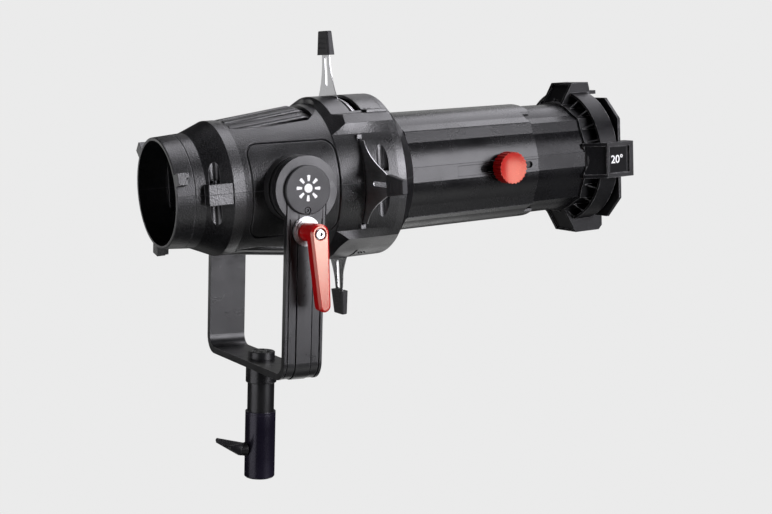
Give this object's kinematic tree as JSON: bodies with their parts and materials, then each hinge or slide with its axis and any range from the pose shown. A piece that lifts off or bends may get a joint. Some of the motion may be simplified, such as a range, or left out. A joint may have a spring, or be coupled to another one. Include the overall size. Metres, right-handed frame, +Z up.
{
  "type": "ellipsoidal spotlight",
  "caption": "Ellipsoidal spotlight attachment: bayonet collar, clamshell housing with framing shutters, focusing lens barrel and colour-frame holder, on a tilting yoke with a stand receiver.",
  "frame": {"origin": "centre of the mouth of the stand socket, at the bottom of the stem", "axes": "+Z up along the stem, +X the way the light leaves the barrel (level; the housing rests 4.7 degrees nose-up), +Y to the side away from the tilt clamp lever"},
  "size_m": [0.6416, 0.378, 0.5477],
  "materials": {
    "black_shell": "fine grain moulded, satin",
    "black_metal": "powder coated, satin",
    "anodised_black": "black anodised",
    "red_anodised": "red anodised, glossy",
    "bright_steel": "brushed",
    "spring_steel": "drawn wire",
    "grip_rubber": "matte moulded",
    "zinc": "bright plated",
    "glass": "coated optical glass",
    "brass": "machined",
    "black_trim": "satin black"
  },
  "bodies": {
    "yoke": {"yoke": "black_metal", "trunnion_bushes": "brass", "near_arm_cap": "black_trim", "far_arm_cap": "black_trim", "cap_screws": "black_metal", "stem_bolt": "black_metal", "stem_collar": "black_metal", "stem_spigot": "black_metal", "stem_receiver": "anodised_black", "stem_ring": "anodised_black", "clamp_block": "black_metal", "clamp_washers": "zinc"},
    "clamp_screw": {"clamp_stud": "zinc", "lever_screw": "zinc", "lever_spring": "spring_steel"},
    "clamp_lever": {"clamp_lever": "red_anodised"},
    "wing_screw": {"wing_screw": "black_metal"},
    "near_shutter": {"near_shutter_blade": "bright_steel", "near_shutter_grip": "grip_rubber"},
    "far_shutter": {"far_shutter_blade": "bright_steel", "far_shutter_grip": "grip_rubber"},
    "top_shutter": {"top_shutter_blade": "bright_steel", "top_shutter_grip": "grip_rubber"},
    "bottom_shutter": {"bottom_shutter_blade": "bright_steel", "bottom_shutter_grip": "grip_rubber"},
    "lens_carriage": {"nose_tube": "black_shell", "objective_rear_lens": "glass", "objective_front_lens": "glass", "objective_rings": "black_metal", "focus_nut": "brass", "front_holder": "black_shell", "holder_screws": "black_metal", "angle_plate": "black_trim", "latch_pin": "black_metal", "colour_frame": "black_metal"},
    "focus_knob": {"focus_knob": "red_anodised", "focus_stud": "zinc"},
    "frame_latch": {"frame_latch": "black_metal"},
    "housing": {"barrel_sleeve": "black_shell", "condenser_cell": "black_shell", "condenser_front_lens": "glass", "condenser_rear_lens": "glass", "condenser_retainers": "black_metal", "cover_screws": "black_metal", "far_trunnion_disc": "black_shell", "friction_washers": "grip_rubber", "gate_front_plate": "bright_steel", "gate_rear_plate": "anodised_black", "gate_screws": "black_metal", "gate_spacers": "spring_steel", "lower_shell": "black_shell", "near_trunnion_disc": "black_shell", "pattern_slot_plate": "bright_steel", "shell_screws": "black_metal", "shutter_separators": "anodised_black", "slot_cover": "black_shell", "trunnion_bolts": "zinc", "upper_shell": "black_shell"}
  },
  "joints": [
    {"name": "housing_tilt", "type": "hinge", "parent": "yoke", "child": "housing", "pos_m": [0, 0, 0.3616], "axis": [0, -1, 0], "range_deg": [-46, 85]},
    {"name": "near_shutter_slide", "type": "slide", "parent": "housing", "child": "near_shutter", "axis": [0, 1, 0], "range_m": [0, 0.038]},
    {"name": "far_shutter_slide", "type": "slide", "parent": "housing", "child": "far_shutter", "axis": [0, -1, 0], "range_m": [0, 0.038]},
    {"name": "top_shutter_slide", "type": "slide", "parent": "housing", "child": "top_shutter", "axis": [0.0819, 0, -0.9966], "range_m": [0, 0.038]},
    {"name": "bottom_shutter_slide", "type": "slide", "parent": "housing", "child": "bottom_shutter", "axis": [-0.0819, 0, 0.9966], "range_m": [0, 0.038]},
    {"name": "focus_slide", "type": "slide", "parent": "housing", "child": "lens_carriage", "axis": [0.9966, 0, 0.0819], "range_m": [-0.03, 0.04]},
    {"name": "focus_knob_turn", "type": "hinge", "parent": "lens_carriage", "child": "focus_knob", "pos_m": [0.297, -0.085, 0.38602], "axis": [0, -1, 0], "range_deg": [-180, 180]},
    {"name": "frame_latch_swing", "type": "hinge", "parent": "lens_carriage", "child": "frame_latch", "pos_m": [0.46442, 0, 0.48417], "axis": [0, -1, 0], "range_deg": [0, 90], "stiffness_Nm_per_rad": 0.03, "springref_deg": -28.65},
    {"name": "clamp_screw_turn", "type": "hinge", "parent": "yoke", "child": "clamp_screw", "pos_m": [0, -0.12, 0.3141], "axis": [0, -1, 0], "range_deg": [-150, 50]},
    {"name": "clamp_lever_pull", "type": "slide", "parent": "clamp_screw", "child": "clamp_lever", "axis": [0, -1, 0], "range_m": [0, 0.004], "stiffness_N_per_m": 600, "springref_m": -0.002, "deforming": ["lever_spring"]},
    {"name": "wing_screw_turn", "type": "hinge", "parent": "yoke", "child": "wing_screw", "pos_m": [-0.02, 0, 0.0361], "axis": [-1, 0, 0], "continuous": true}
  ]
}
